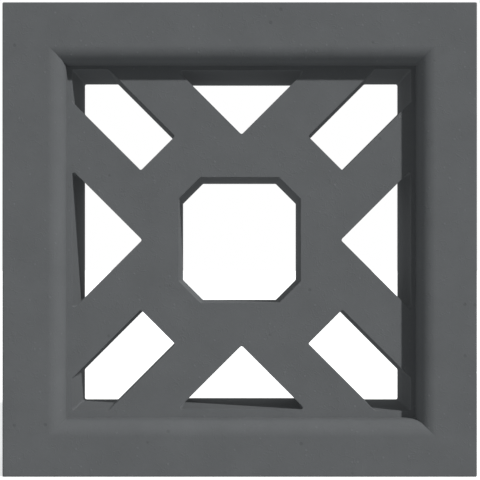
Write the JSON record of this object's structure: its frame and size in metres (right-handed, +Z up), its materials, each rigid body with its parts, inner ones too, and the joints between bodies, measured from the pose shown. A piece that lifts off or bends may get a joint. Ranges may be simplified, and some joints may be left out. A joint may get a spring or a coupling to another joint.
{
  "type": "decorative screen block",
  "caption": "Square concrete screen block: a plain frame with a rounded inner lip round a recessed lattice, pierced by an eight-sided window, corner slots and triangles.",
  "frame": {"origin": "middle of the bed, the face that the block stands on", "axes": "+X along the wall, to the right seen from the front; +Y through the wall, away from the front; +Z up"},
  "size_m": [0.29, 0.09, 0.29],
  "materials": {
    "concrete": "matt fine-grained concrete, through-coloured charcoal grey"
  },
  "bodies": {
    "root": {"screen_block": "concrete"}
  },
  "joints": []
}
